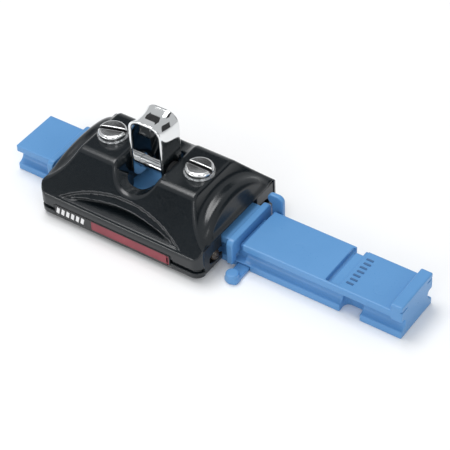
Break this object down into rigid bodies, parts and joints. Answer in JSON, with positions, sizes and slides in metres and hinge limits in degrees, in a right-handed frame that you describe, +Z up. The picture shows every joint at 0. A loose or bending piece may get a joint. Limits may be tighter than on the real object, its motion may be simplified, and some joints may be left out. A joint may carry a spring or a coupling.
{
  "type": "mainsheet traveler car",
  "caption": "Ball-bearing traveler car with a pivoting rectangular shackle, two slotted screws and swept ends, sitting on its ball-retaining plastic loader.",
  "frame": {"origin": "under the middle of the loader's length, at its flat underside", "axes": "+X along the track, towards the loader's long free end; +Y across the track, away from the release tab; +Z up"},
  "size_m": [0.176, 0.0542, 0.0463],
  "materials": {
    "loader_plastic": "moulded, semi-matt",
    "car_black": "black anodised, satin",
    "cap_plastic": "moulded, semi-gloss",
    "ball_plastic": "ground, semi-gloss",
    "label_film": "printed film",
    "polished_steel": "polished stainless",
    "washer_plastic": "moulded"
  },
  "bodies": {
    "loader": {"loader": "loader_plastic", "stop_clip": "loader_plastic"},
    "latch": {"release_latch": "loader_plastic"},
    "car": {"car_body": "car_black", "cap_front_left": "cap_plastic", "cap_front_right": "cap_plastic", "cap_back_left": "cap_plastic", "cap_back_right": "cap_plastic", "balls_load_front": "ball_plastic", "balls_return_front": "ball_plastic", "balls_load_back": "ball_plastic", "balls_return_back": "ball_plastic", "label_front": "label_film", "label_back": "label_film", "shackle_pin": "polished_steel", "pin_washer_left": "washer_plastic", "pin_washer_right": "washer_plastic", "screw_left": "polished_steel", "screw_right": "polished_steel", "washer_left": "polished_steel", "washer_right": "polished_steel"},
    "shackle": {"shackle": "polished_steel"}
  },
  "joints": [
    {"name": "car_slide", "type": "slide", "parent": "loader", "child": "car", "axis": [1, 0, 0], "range_m": [-0.003, 0.0025]},
    {"name": "latch_push", "type": "slide", "parent": "loader", "child": "latch", "axis": [0, 1, 0], "range_m": [0, 0.002]},
    {"name": "shackle_pivot", "type": "hinge", "parent": "car", "child": "shackle", "pos_m": [-0.0265, 0, 0.0217], "axis": [1, 0, 0], "range_deg": [-45, 45]}
  ]
}
